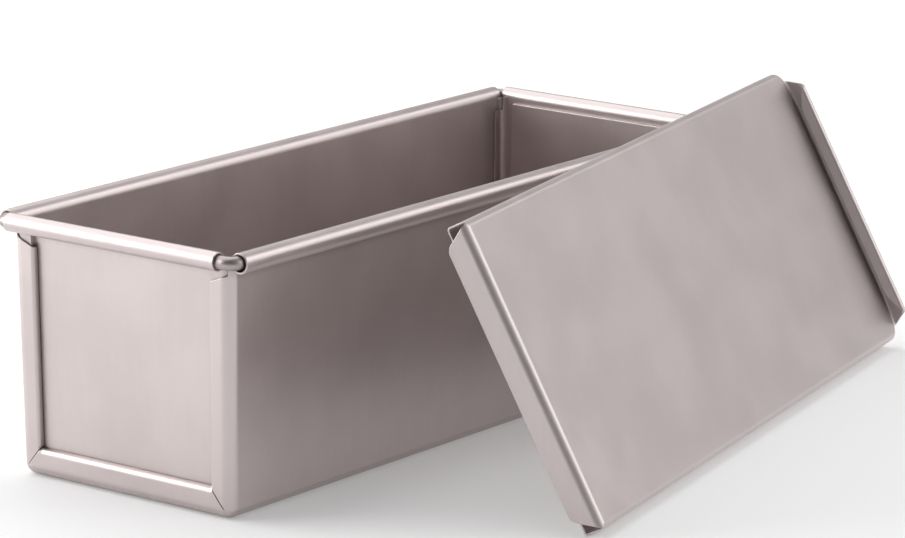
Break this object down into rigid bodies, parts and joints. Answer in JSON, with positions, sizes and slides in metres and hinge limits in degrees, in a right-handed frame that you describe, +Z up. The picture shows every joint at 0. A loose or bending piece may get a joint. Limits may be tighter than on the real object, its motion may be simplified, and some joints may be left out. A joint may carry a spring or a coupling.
{
  "type": "pullman loaf pan",
  "caption": "Deep straight-walled loaf pan of folded coated steel with wired rolled rim and panelled ends, its channelled sliding lid taken off and leaning on a long side.",
  "frame": {"origin": "centre of the flat underside of the pan's floor, on the table", "axes": "+X across the pan toward the lid, +Y along the pan away from the end that the picture shows, +Z up"},
  "size_m": [0.2488, 0.4167, 0.1205],
  "materials": {
    "pan_coat": "satin champagne non-stick coating on steel sheet",
    "wire_coat": "satin champagne non-stick coating on steel wire",
    "lid_coat": "satin champagne non-stick coating on steel sheet"
  },
  "bodies": {
    "pan": {"body_wrap": "pan_coat", "end_panel_near": "pan_coat", "end_panel_far": "pan_coat", "rim_wire": "wire_coat"},
    "lid": {"lid": "lid_coat"}
  },
  "joints": [
    {"name": "lid_lift", "type": "slide", "parent": "pan", "child": "lid", "axis": [0, 0, 1], "range_m": [0, 0.15]}
  ]
}
